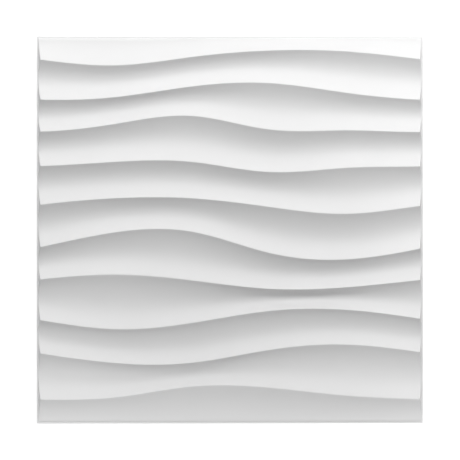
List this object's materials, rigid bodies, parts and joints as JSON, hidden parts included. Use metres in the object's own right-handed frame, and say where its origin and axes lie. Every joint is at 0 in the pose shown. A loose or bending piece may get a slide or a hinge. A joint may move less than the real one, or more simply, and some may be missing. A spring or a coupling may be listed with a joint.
{
  "type": "3d wall panel tile",
  "caption": "Square wall panel tile with wavy ridges running side to side, hollow scallops between them and a narrow flat rim, formed from one thin sheet.",
  "frame": {"origin": "middle of the back plane, on which the flange lies", "axes": "+X to the panel's right edge, +Y to its top edge as hung, +Z out of its front"},
  "size_m": [0.5, 0.5, 0.012],
  "materials": {
    "panel_sheet": "matte white rigid PVC sheet, vacuum formed"
  },
  "bodies": {
    "root": {"wave_panel": "panel_sheet"}
  },
  "joints": []
}
